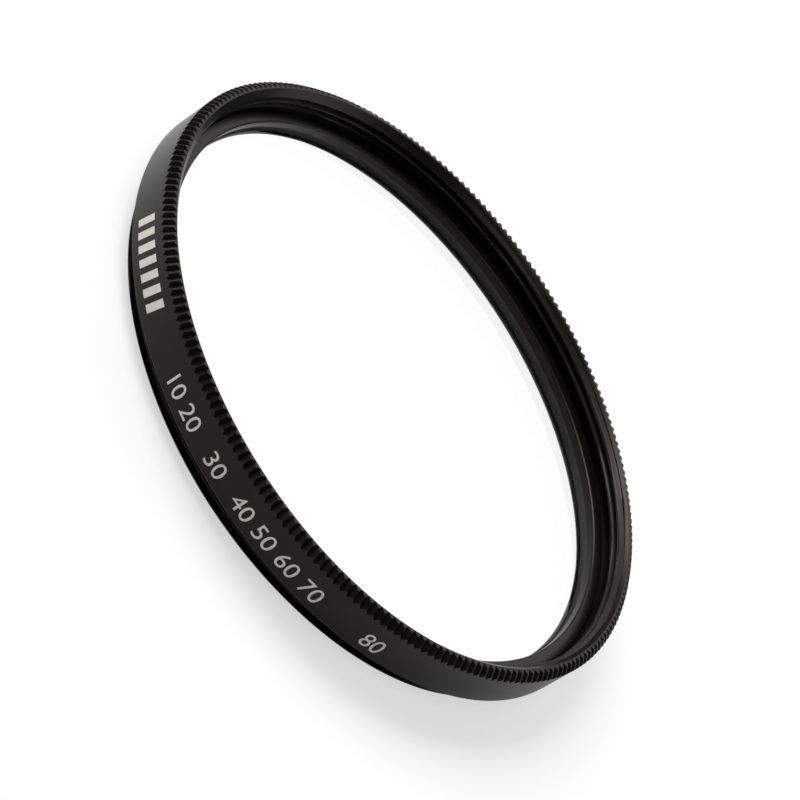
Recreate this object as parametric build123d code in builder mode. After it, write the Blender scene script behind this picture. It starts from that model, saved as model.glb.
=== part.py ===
"""Screw-in lens filter: a turned aluminium ring, a glass disc and the ring that holds the glass in.

The filter lies flat on the end of its male thread, with the front of the filter up.
The origin is on the optical axis at that end, and +Z is the way the light comes in from.
"""

import os
from math import pi

from build123d import *

# Driving dimensions in millimetres

# The filter thread, the same at both ends of the filter
thread_diameter = 49.0
female_thread_height = 0.41
male_thread_play = 0.05
male_thread_length = 1.65
thread_lead_in = 0.25
male_relief_width = 0.3
male_relief_depth = 0.42

# The rim, which stands out past the thread and is gripped
rim_step = 1.0
rim_height = 4.0
rim_rear_chamfer = 0.18
rim_bevel = 0.46
mouth_chamfer = 0.56

# The knurl, a row of V grooves cut along the bevel of the rim, which meet in sharp ridges just under it
knurl_pitch = 0.69
knurl_depth = 0.22
knurl_ridge_drop = 0.01

# The glass and its seat in the ring
glass_thickness = 2.1
glass_play = 0.1
seat_height = 0.57
seat_width = 0.5
window_chamfer = 0.4

# The retaining ring on top of the glass, and the step in the ring that it is pressed into
retainer_inset = 0.04
retainer_width = 1.1
retainer_height = 0.75
retainer_proud = 0.3
retainer_play = 0.03
retainer_edge = 0.1
shelf_width = 0.68
shelf_drop = 0.1

# The relief groove at the inner end of the front thread
front_relief_gap = 0.33

# Radii that follow
rim_radius = thread_diameter / 2 + rim_step
bevel_radius = rim_radius - rim_bevel
male_radius = thread_diameter / 2 - male_thread_play
male_relief_radius = male_radius - male_relief_depth
front_relief_radius = thread_diameter / 2
female_radius = thread_diameter / 2 - female_thread_height
mouth_radius = female_radius + mouth_chamfer
retainer_radius = female_radius - retainer_inset
retainer_bore_radius = retainer_radius - retainer_width
step_radius = retainer_radius + retainer_play
pocket_radius = step_radius - shelf_width
glass_radius = pocket_radius - glass_play
window_radius = pocket_radius - seat_width

# Levels that follow, from the rear end up
overall_height = male_thread_length + rim_height
glass_top = seat_height + glass_thickness
shelf_level = glass_top - shelf_drop
retainer_top = glass_top + retainer_height
step_level = retainer_top - retainer_proud
front_relief_level = retainer_top + front_relief_gap

# The filter ring is turned from one piece, from the rear end round to the front and back inside
ring_section = [
    (window_radius + window_chamfer, 0),
    (male_radius - thread_lead_in, 0),
    (male_radius, thread_lead_in),
    (male_radius, male_thread_length - male_relief_width),
    (male_relief_radius, male_thread_length - male_relief_width),
    (male_relief_radius, male_thread_length),
    (rim_radius - rim_rear_chamfer, male_thread_length),
    (rim_radius, male_thread_length + rim_rear_chamfer),
    (rim_radius, overall_height - rim_bevel),
    (bevel_radius, overall_height),
    (mouth_radius, overall_height),
    (female_radius, overall_height - mouth_chamfer),
    (female_radius, front_relief_level),
    (front_relief_radius, front_relief_level),
    (front_relief_radius, step_level),
    (step_radius, step_level),
    (step_radius, shelf_level),
    (pocket_radius, shelf_level),
    (pocket_radius, seat_height),
    (window_radius, seat_height),
    (window_radius, window_chamfer),
]

# One knurl groove: a V that runs along the bevel, as deep all the way, and runs out on the side of the rim
# It is as wide as the knurl's pitch at the level of the ridges
knurl_count = round(2 * pi * rim_radius / knurl_pitch)
groove_width = 2 * pi * rim_radius / knurl_count
groove_top = 2 * knurl_depth
groove_slope = groove_width / 2 / (knurl_depth - knurl_ridge_drop)
groove_half_width = (knurl_depth + groove_top) * groove_slope
groove_length = 2 * (rim_bevel + knurl_depth)
groove_plane = Plane(
    origin=(rim_radius - rim_bevel / 2, 0, overall_height - rim_bevel / 2),
    x_dir=(0, 1, 0),
    z_dir=(1, 0, -1),
)

with BuildPart() as groove:
    with BuildSketch(groove_plane):
        with BuildLine():
            Polyline(
                (0, -knurl_depth),
                (groove_half_width, groove_top),
                (-groove_half_width, groove_top),
                close=True,
            )
        make_face()
    extrude(amount=groove_length, both=True)

with BuildPart() as filter_ring:
    with BuildSketch(Plane.XZ):
        with BuildLine():
            Polyline(*ring_section, close=True)
        make_face()
    revolve(axis=Axis.Z)
    with PolarLocations(0, knurl_count):
        add(groove.part, mode=Mode.SUBTRACT)

# The glass is a plain ground disc that lies on the seat
with BuildPart() as glass_disc:
    with BuildSketch(Plane.XY.offset(seat_height)):
        Circle(glass_radius)
    extrude(amount=glass_thickness)

# The retaining ring lies on the glass, pressed into the step, with its upper edges broken
with BuildPart() as retaining_ring:
    with BuildSketch(Plane.XY.offset(glass_top)):
        Circle(retainer_radius)
        Circle(retainer_bore_radius, mode=Mode.SUBTRACT)
    extrude(amount=retainer_height)
    upper_face = retaining_ring.faces().sort_by(Axis.Z)[-1]
    chamfer(upper_face.edges(), length=retainer_edge)

os.makedirs("parts", exist_ok=True)

filter_ring.part.label = "filter_ring"
export_step(filter_ring.part, "parts/filter_ring.step")

glass_disc.part.label = "glass_disc"
export_step(glass_disc.part, "parts/glass_disc.step")

retaining_ring.part.label = "retaining_ring"
export_step(retaining_ring.part, "parts/retaining_ring.step")
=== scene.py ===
"""Screw-in lens filter: a black anodised ring with a knurled rim, its glass and its retaining ring.

The filter lies on a white table on the end of its male thread, with its front up.
"""

from math import atan2, cos, hypot, radians, sin, sqrt, tau

import bmesh
import bpy
from mathutils import Matrix, Vector


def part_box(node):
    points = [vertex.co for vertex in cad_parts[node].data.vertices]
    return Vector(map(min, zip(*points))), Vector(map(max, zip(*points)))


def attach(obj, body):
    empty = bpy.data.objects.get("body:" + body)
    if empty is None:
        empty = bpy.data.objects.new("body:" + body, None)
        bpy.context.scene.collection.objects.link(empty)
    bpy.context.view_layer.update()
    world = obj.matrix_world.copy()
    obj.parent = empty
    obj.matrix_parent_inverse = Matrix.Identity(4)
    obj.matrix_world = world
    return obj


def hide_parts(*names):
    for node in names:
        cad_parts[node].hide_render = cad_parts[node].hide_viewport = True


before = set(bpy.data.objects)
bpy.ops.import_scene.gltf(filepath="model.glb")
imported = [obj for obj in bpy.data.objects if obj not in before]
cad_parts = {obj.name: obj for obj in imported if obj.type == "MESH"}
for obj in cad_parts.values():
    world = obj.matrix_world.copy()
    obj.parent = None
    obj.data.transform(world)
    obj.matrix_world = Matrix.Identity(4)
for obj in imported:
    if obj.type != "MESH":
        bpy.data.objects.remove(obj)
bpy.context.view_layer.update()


# The filter ring is turned from one piece of aluminium: rim, two threads, relief grooves and glass seat.
# It is black anodised after the knurl is cut, so only sharp edges and thread crests catch the light.
mm = 0.001
ring_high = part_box("filter_ring")[1]
rim_radius = ring_high.x
overall_height = ring_high.z

thread_pitch = 0.75 * mm
thread_radius = 24.5 * mm
thread_rows = 16
narrow_flat_share = 1 / 8
wide_flat_share = 1 / 4

male_thread_play = 0.05 * mm
male_radius = thread_radius - male_thread_play
male_thread_height = 0.42 * mm
male_thread_length = 1.65 * mm
male_relief_width = 0.3 * mm
male_relief_level = male_thread_length - male_relief_width
thread_lead_in = 0.25 * mm

female_thread_height = 0.41 * mm
female_radius = thread_radius - female_thread_height
mouth_chamfer = 0.56 * mm
chamfer_level = overall_height - mouth_chamfer

rim_rear_chamfer = 0.18 * mm
rim_bevel = 0.46 * mm
edge_rounding = 0.04 * mm
ink_film = 0.012 * mm
band_radius = rim_radius - ink_film

glass_low, glass_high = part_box("glass_disc")
retainer_low, retainer_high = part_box("retaining_ring")
glass_play = 0.1 * mm
seat_width = 0.5 * mm
retainer_play = 0.03 * mm
retainer_proud = 0.3 * mm
shelf_drop = 0.1 * mm
front_relief_gap = 0.33 * mm
pocket_radius = glass_high.x + glass_play
window_radius = pocket_radius - seat_width
window_chamfer = 0.4 * mm
step_radius = retainer_high.x + retainer_play
step_level = retainer_high.z - retainer_proud
shelf_level = retainer_low.z - shelf_drop
front_relief_level = retainer_high.z + front_relief_gap

knurl_count = 232
knurl_depth = 0.22 * mm
ridge_flat_share = 0.2
columns_per_groove = 3
ring_columns = knurl_count * columns_per_groove
weld_distance = 0.0005 * mm
sharp_angle = radians(28)


def turned(outline, rounded, columns):
    """A bmesh turned about the axis from a closed outline of (radius, height) points, some rounded."""
    bm = bmesh.new()
    points = [bm.verts.new((radius, 0, height)) for radius, height in outline]
    for point, following in zip(points, points[1:] + points[:1]):
        bm.edges.new((point, following))
    corners = [points[outline.index(corner)] for corner in rounded]
    if corners:
        bmesh.ops.bevel(
            bm, geom=corners, offset=edge_rounding, offset_type="OFFSET", segments=3,
            profile=0.5, affect="VERTICES", material=-1,
        )
    bmesh.ops.spin(
        bm, geom=bm.verts[:] + bm.edges[:], cent=(0, 0, 0), axis=(0, 0, 1),
        dvec=(0, 0, 0), angle=tau, steps=columns, use_merge=True,
    )
    return bm


def piece(name, bm, material, cad_node):
    """A finished piece from a bmesh: smooth but for its sharp edges, and standing for its solid, if any."""
    bmesh.ops.remove_doubles(bm, verts=bm.verts[:], dist=weld_distance)
    bmesh.ops.recalc_face_normals(bm, faces=bm.faces[:])
    mesh = bpy.data.meshes.new(name)
    bm.to_mesh(mesh)
    bm.free()
    mesh.shade_smooth()
    mesh.set_sharp_from_angle(angle=sharp_angle)
    mesh.materials.append(material)
    made = bpy.data.objects.new(name, mesh)
    bpy.context.scene.collection.objects.link(made)
    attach(made, "root")
    if cad_node:
        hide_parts(cad_node)
    return made


def linear(hex_colour):
    """A colour written as sRGB hex, in the linear values that the shaders take."""
    parts = [int(hex_colour[i:i + 2], 16) / 255 for i in (1, 3, 5)]
    return tuple(p / 12.92 if p <= 0.04045 else ((p + 0.055) / 1.055) ** 2.4 for p in parts) + (1,)


def node(tree, kind, settings=None, **inputs):
    """A new node with its settings. Each input, by name or by number, is set to a value or linked."""
    made = tree.nodes.new(kind)
    for key, value in (settings or {}).items():
        setattr(made, key, value)
    for key, value in inputs.items():
        socket = made.inputs[int(key[1:]) if key[1:].isdigit() else key.replace("_", " ")]
        if isinstance(value, bpy.types.NodeSocket):
            tree.links.new(value, socket)
        else:
            socket.default_value = value
    return made


def new_material(name):
    """A material and its shader."""
    material = bpy.data.materials.new(name)
    material.use_nodes = True
    return material, material.node_tree.nodes["Principled BSDF"]


# Black anodised aluminium: a dyed oxide skin over fine turned metal, dark and satin, with a soft sheen.
# Its IOR is lower than a bare oxide's, and is matched to how dark the ring looks over a white table.
# The turning marks follow radius and height, and are drawn coarser than real ones so that they show.
anodised, shader = new_material("black_anodised_aluminium")
tree = anodised.node_tree
turning_mark = 0.06 * mm
grain_size = 0.25 * mm
blotch_size = 6 * mm
turning_low = 0.3
turning_high = 0.7
smoothest = 0.28
roughest = 0.38
grain_share = 0.5
relief_strength = 0.12
relief_depth = 0.01 * mm
place = node(tree, "ShaderNodeTexCoord").outputs["Object"]
split = node(tree, "ShaderNodeSeparateXYZ", Vector=place)
across = node(tree, "ShaderNodeCombineXYZ", X=split.outputs["X"], Y=split.outputs["Y"])
radius_from_axis = node(tree, "ShaderNodeVectorMath", {"operation": "LENGTH"}, _0=across.outputs[0])
along_section = node(
    tree, "ShaderNodeMath", {"operation": "ADD"},
    _0=radius_from_axis.outputs["Value"], _1=split.outputs["Z"],
)
turning = node(
    tree, "ShaderNodeTexNoise", {"noise_dimensions": "1D"},
    W=along_section.outputs[0], Scale=1 / turning_mark, Detail=1.0, Roughness=0.5,
)
grain = node(tree, "ShaderNodeTexNoise", Vector=place, Scale=1 / grain_size, Detail=3.0, Roughness=0.6)
blotch = node(tree, "ShaderNodeTexNoise", Vector=place, Scale=1 / blotch_size, Detail=2.0)
tone = node(
    tree, "ShaderNodeMix", {"data_type": "RGBA"},
    _0=blotch.outputs[0], _6=linear("#090808"), _7=linear("#0e0d0c"),
)
satin = node(
    tree, "ShaderNodeMapRange",
    _0=turning.outputs[0], _1=turning_low, _2=turning_high, _3=smoothest, _4=roughest,
)
relief_mix = node(
    tree, "ShaderNodeMath", {"operation": "MULTIPLY_ADD"},
    _0=grain.outputs[0], _1=grain_share, _2=turning.outputs[0],
)
bump = node(
    tree, "ShaderNodeBump",
    Strength=relief_strength, Distance=relief_depth, Height=relief_mix.outputs[0],
)
tree.links.new(tone.outputs[2], shader.inputs["Base Color"])
tree.links.new(satin.outputs[0], shader.inputs["Roughness"])
tree.links.new(bump.outputs[0], shader.inputs["Normal"])
shader.inputs["Metallic"].default_value = 0.0
shader.inputs["IOR"].default_value = 1.28
shader.inputs["Specular Tint"].default_value = linear("#fff7ec")

male_wall = [
    (male_radius, male_relief_level * row / (2 * thread_rows))
    for row in range(2 * thread_rows + 1)
]
female_row_count = round((overall_height - front_relief_level) / thread_pitch * thread_rows)
female_wall = [
    (female_radius, overall_height - (overall_height - front_relief_level) * row / female_row_count)
    for row in range(female_row_count + 1)
]
rear_corner = (band_radius - rim_rear_chamfer, male_thread_length)
rear_edge = (band_radius, male_thread_length + rim_rear_chamfer)
bevel_edge = (band_radius, overall_height - rim_bevel)
front_edge = (rim_radius - rim_bevel, overall_height)
ring_outline = [
    (window_radius + window_chamfer, 0),
    *male_wall,
    (male_radius - male_thread_height, male_relief_level),
    (male_radius - male_thread_height, male_thread_length),
    rear_corner,
    rear_edge,
    bevel_edge,
    front_edge,
    *female_wall,
    (thread_radius, front_relief_level),
    (thread_radius, step_level),
    (step_radius, step_level),
    (step_radius, shelf_level),
    (pocket_radius, shelf_level),
    (pocket_radius, glass_low.z),
    (window_radius, glass_low.z),
    (window_radius, window_chamfer),
]
ring = turned(ring_outline, [rear_corner, rear_edge], ring_columns)


def thread_fall(height, angle, crest_share, root_share):
    """How far a right-hand thread has fallen from its crest, from 0 to 1, at a height and an angle."""
    turn = (height / thread_pitch - angle / tau) % 1
    from_crest = abs(2 * turn - 1)
    return min(max((from_crest - crest_share) / (1 - crest_share - root_share), 0), 1)


# The threads are cut into the plain walls, and then the lead-in and the mouth's chamfer cut the threads.
# Each knurl groove is a V: its root runs in on the front face and down the band from the bevel's two edges.
near = 0.001 * mm
groove_run = sqrt(2) * knurl_depth
groove_reach = 0.37 * mm
column_places = (0, (1 - ridge_flat_share) / 2, (1 + ridge_flat_share) / 2)
for vertex in ring.verts:
    x, y, height = vertex.co
    radius, angle = hypot(x, y), atan2(y, x)
    new_radius, new_height = radius, height
    groove, column = divmod(round(angle / tau * ring_columns), columns_per_groove)
    at_groove_root = column == 0
    angle = (groove + column_places[column]) * tau / knurl_count
    if abs(radius - male_radius) < near and height < male_relief_level + near:
        fall = thread_fall(height, angle, narrow_flat_share, wide_flat_share)
        cut = male_radius - male_thread_height * fall
        new_radius = min(cut, male_radius - thread_lead_in + height)
    elif abs(radius - female_radius) < near and height > front_relief_level - near:
        fall = thread_fall(height, angle, wide_flat_share, narrow_flat_share)
        cut = female_radius + female_thread_height * fall
        new_radius = max(cut, female_radius + height - chamfer_level)
    elif at_groove_root and abs(radius - front_edge[0]) < near and abs(height - front_edge[1]) < near:
        new_radius = radius - groove_reach
    elif at_groove_root and abs(radius - bevel_edge[0]) < near and abs(height - bevel_edge[1]) < near:
        new_height = height - groove_run
    vertex.co = (cos(angle) * new_radius, sin(angle) * new_radius, new_height)
piece("filter_ring_turned", ring, anodised, "filter_ring")


# The marking is white ink, pad printed on the side of the rim as a thin film with a dull surface.
# It is seven plain leaning bars and a scale of numbers, laid out flat and then bent round the rim.
white_ink, shader = new_material("white_pad_print_ink")
shader.inputs["Base Color"].default_value = linear("#cfcdc5")
shader.inputs["Roughness"].default_value = 0.55
bar_count = 7
bar_width = 0.7 * mm
bar_height = 1.7 * mm
bar_lean = 0.35 * mm
bar_step = 1.28 * mm
first_bar_angle = radians(220.2)
bar_middle = 3.35 * mm
digit_size = 2.0 * mm
digit_base = 2.4 * mm
number_angles = (("10 20", 249.2), ("30", 263.4), ("40 50 60 70", 271.4), ("80", 302.8))
marking = bmesh.new()
for bar in range(bar_count):
    along = first_bar_angle * rim_radius + bar * bar_step
    leaning = Matrix((
        (bar_width, bar_lean, 0, along),
        (0, bar_height, 0, bar_middle),
        (0, 0, 1, 0),
        (0, 0, 0, 1),
    ))
    bmesh.ops.create_grid(marking, x_segments=1, y_segments=1, size=0.5, matrix=leaning)
for numbers, start_degrees in number_angles:
    lettering = bpy.data.curves.new("numbers", "FONT")
    lettering.body = numbers
    lettering.size = digit_size
    text_mesh = bpy.data.meshes.new_from_object(bpy.data.objects.new("numbers", lettering))
    text_mesh.transform(Matrix.Translation((radians(start_degrees) * rim_radius, digit_base, 0)))
    marking.from_mesh(text_mesh)
for vertex in marking.verts:
    along, height = vertex.co.xy
    angle = along / rim_radius
    vertex.co = (cos(angle) * rim_radius, sin(angle) * rim_radius, height)
piece("rim_marking", marking, white_ink, None)


# The glass is a plain disc of crown glass that lies on the seat in the ring, polished on both faces.
# It is clear, and its coating takes away most of what it would reflect when seen head on.
# Its edge is ground, with a small chamfer, and blackened so that it throws no light back.
clear_glass, shader = new_material("coated_crown_glass")
shader.inputs["Base Color"].default_value = linear("#ffffff")
shader.inputs["Roughness"].default_value = 0.0
shader.inputs["IOR"].default_value = 1.52
shader.inputs["Specular Tint"].default_value = linear("#202020")
shader.inputs["Transmission Weight"].default_value = 1.0
ground_edge, shader = new_material("ground_glass_edge_blackened")
shader.inputs["Base Color"].default_value = linear("#2c2c2a")
shader.inputs["Roughness"].default_value = 0.7
glass_radius = glass_high.x
glass_chamfer = 0.15 * mm
contact_gap = 0.004 * mm
glass_columns = 256
glass_bottom = glass_low.z + contact_gap
glass_top = glass_high.z - contact_gap
glass_outline = [
    (0, glass_bottom),
    (glass_radius - glass_chamfer, glass_bottom),
    (glass_radius, glass_bottom + glass_chamfer),
    (glass_radius, glass_top - glass_chamfer),
    (glass_radius - glass_chamfer, glass_top),
    (0, glass_top),
]
glass = turned(glass_outline, [], glass_columns)
for face in glass.faces:
    if max(hypot(vertex.co.x, vertex.co.y) for vertex in face.verts) > glass_radius - glass_chamfer / 2:
        face.material_index = 1
glass_disc = piece("glass_disc_ground", glass, clear_glass, "glass_disc")
glass_disc.data.materials.append(ground_edge)


# The retaining ring is a flat turned ring, black anodised like the filter ring.
# It is pressed in on top of the glass, with its upper edges broken and slightly rounded.
retainer_columns = 360
retainer_width = 1.1 * mm
retainer_radius = retainer_high.x
retainer_bore_radius = retainer_radius - retainer_width
retainer_edge = 0.1 * mm
retainer_outline = [
    (retainer_bore_radius, retainer_low.z),
    (retainer_radius, retainer_low.z),
    (retainer_radius, retainer_high.z - retainer_edge),
    (retainer_radius - retainer_edge, retainer_high.z),
    (retainer_bore_radius + retainer_edge, retainer_high.z),
    (retainer_bore_radius, retainer_high.z - retainer_edge),
]
retainer = turned(retainer_outline, retainer_outline[2:6], retainer_columns)
piece("retaining_ring_turned", retainer, anodised, "retaining_ring")


# The table is a plain flat white sheet, dull on top.
# A share of its white is a steady glow, for the camera and for what the metal and the glass show of it.
# The rest is lit by the lamps, so the table keeps the filter's shadow.
white_seen = 0.6
white_mirrored = 0.2
white_through_glass = 0.9
white_table, shader = new_material("white_table")
tree = white_table.node_tree
shader.inputs["Base Color"].default_value = linear("#fafafa")
shader.inputs["Roughness"].default_value = 0.8
rays = node(tree, "ShaderNodeLightPath").outputs
direct_share = node(
    tree, "ShaderNodeMath", {"operation": "MULTIPLY"},
    _0=rays["Is Camera Ray"], _1=white_seen,
)
mirrored_share = node(
    tree, "ShaderNodeMath", {"operation": "MULTIPLY_ADD"},
    _0=rays["Is Glossy Ray"], _1=white_mirrored, _2=direct_share.outputs[0],
)
white_share = node(
    tree, "ShaderNodeMath", {"operation": "MULTIPLY_ADD"},
    _0=rays["Is Transmission Ray"], _1=white_through_glass, _2=mirrored_share.outputs[0],
)
glow = node(tree, "ShaderNodeEmission", Color=(1, 1, 1, 1), Strength=1.0)
table_mix = node(
    tree, "ShaderNodeMixShader",
    _0=white_share.outputs[0], _1=shader.outputs[0], _2=glow.outputs[0],
)
tree.links.new(table_mix.outputs[0], tree.nodes["Material Output"].inputs["Surface"])
table_half = 1.5
bm = bmesh.new()
bmesh.ops.create_grid(bm, x_segments=1, y_segments=1, size=table_half)
table_mesh = bpy.data.meshes.new("table")
bm.to_mesh(table_mesh)
bm.free()
table_mesh.materials.append(white_table)
table = bpy.data.objects.new("table", table_mesh)
bpy.context.scene.collection.objects.link(table)


# The studio is a dim white room with four square softboxes that face the filter.
# The key light stands over the left end, a broad one behind, and weak ones high in front and at the right.
room_light = 0.08
world = bpy.data.worlds.new("dim_white_room")
bpy.context.scene.world = world
world.use_nodes = True
room = world.node_tree.nodes["Background"]
room.inputs["Color"].default_value = (1, 1, 1, 1)
room.inputs["Strength"].default_value = room_light


def softbox(name, azimuth, elevation, distance, size, power):
    """A square area light that faces the filter from a direction in degrees and a distance in metres."""
    light = bpy.data.lights.new(name, "AREA")
    light.size = size
    light.energy = power
    lamp = bpy.data.objects.new(name, light)
    bpy.context.scene.collection.objects.link(lamp)
    towards = Vector((
        cos(radians(elevation)) * cos(radians(azimuth)),
        cos(radians(elevation)) * sin(radians(azimuth)),
        sin(radians(elevation)),
    ))
    lamp.location = towards * distance
    lamp.rotation_euler = towards.to_track_quat("Z", "Y").to_euler()


softbox("key_softbox", azimuth=168, elevation=48, distance=0.5, size=0.32, power=2.8)
softbox("back_softbox", azimuth=100, elevation=36, distance=0.9, size=0.7, power=2.3)
softbox("front_softbox", azimuth=290, elevation=64, distance=0.7, size=0.38, power=0.8)
softbox("right_softbox", azimuth=30, elevation=26, distance=0.7, size=0.35, power=0.7)


# The camera stands where the photographer stood: low over the near side, far back, and rolled.
# Its angles, distance, focal length and centre, the last two in pixels, were fitted to the ring's edges.
camera_elevation = radians(30.812)
camera_roll = radians(57.485)
camera_distance = 255.776 * mm
focal_pixels = 3385.04
image_size = 800
centre_x, centre_y = 414.964, 371.098
camera_data = bpy.data.cameras.new("camera")
camera_data.sensor_width = 36
camera_data.lens = focal_pixels / image_size * camera_data.sensor_width
camera_data.shift_x = -(centre_x / image_size - 0.5)
camera_data.shift_y = centre_y / image_size - 0.5
camera_data.clip_start = 0.01
camera = bpy.data.objects.new("camera", camera_data)
bpy.context.scene.collection.objects.link(camera)
forward = Vector((0, cos(camera_elevation), -sin(camera_elevation)))
level_right = Vector((1, 0, 0))
level_up = Vector((0, sin(camera_elevation), cos(camera_elevation)))
camera_right = cos(camera_roll) * level_right + sin(camera_roll) * level_up
camera_up = cos(camera_roll) * level_up - sin(camera_roll) * level_right
stand = Vector((0, 0, overall_height)) - forward * camera_distance
axes = Matrix((camera_right, camera_up, -forward)).transposed().to_4x4()
camera.matrix_world = Matrix.Translation(stand) @ axes
bpy.context.scene.camera = camera
bpy.context.scene.view_settings.view_transform = "Standard"
